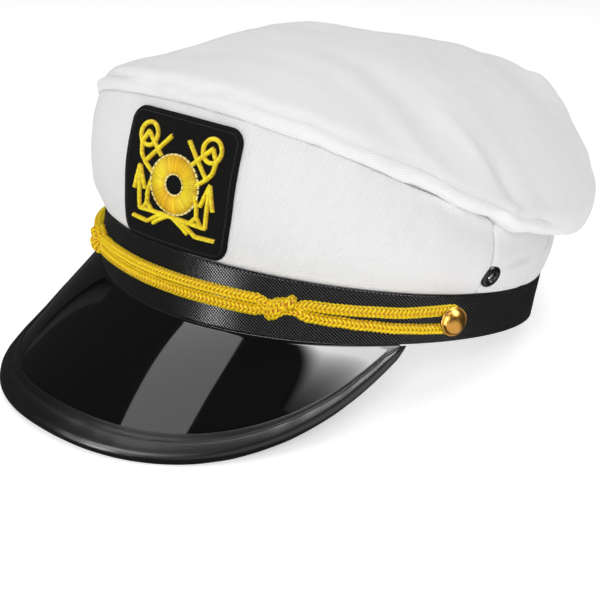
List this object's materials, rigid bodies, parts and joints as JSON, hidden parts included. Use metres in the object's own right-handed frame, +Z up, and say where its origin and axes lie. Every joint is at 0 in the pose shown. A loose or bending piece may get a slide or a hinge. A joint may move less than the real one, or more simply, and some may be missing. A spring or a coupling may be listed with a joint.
{
  "type": "sailor hat",
  "caption": "Peaked sailor hat with a white twill crown, black band, glossy black peak, gold cord with knots and buttons, and an embroidered badge",
  "frame": {"origin": "on the surface that the hat stands on, under the middle of its width and length", "axes": "+Z up, the peak towards -Y, the wearer's left towards +X"},
  "size_m": [0.218, 0.279, 0.127],
  "materials": {
    "crown_cloth": "matte twill",
    "band_ribbon": "ribbed satin",
    "peak_plastic": "polished",
    "binding_plastic": "satin",
    "gold_braid": "braided, slight sheen",
    "button_brass": "polished",
    "eyelet_metal": "black enamel",
    "badge_cloth": "matte twill",
    "gold_thread": "satin stitch"
  },
  "bodies": {
    "root": {"crown_top": "crown_cloth", "crown_front": "crown_cloth", "crown_side_left": "crown_cloth", "crown_side_right": "crown_cloth", "crown_back": "crown_cloth", "band": "band_ribbon", "peak": "peak_plastic", "peak_binding": "binding_plastic", "cord": "gold_braid", "knot_left": "gold_braid", "knot_right": "gold_braid", "button_left": "button_brass", "button_right": "button_brass", "eyelet_left": "eyelet_metal", "eyelet_right": "eyelet_metal", "patch": "badge_cloth", "emblem": "gold_thread"}
  },
  "joints": []
}
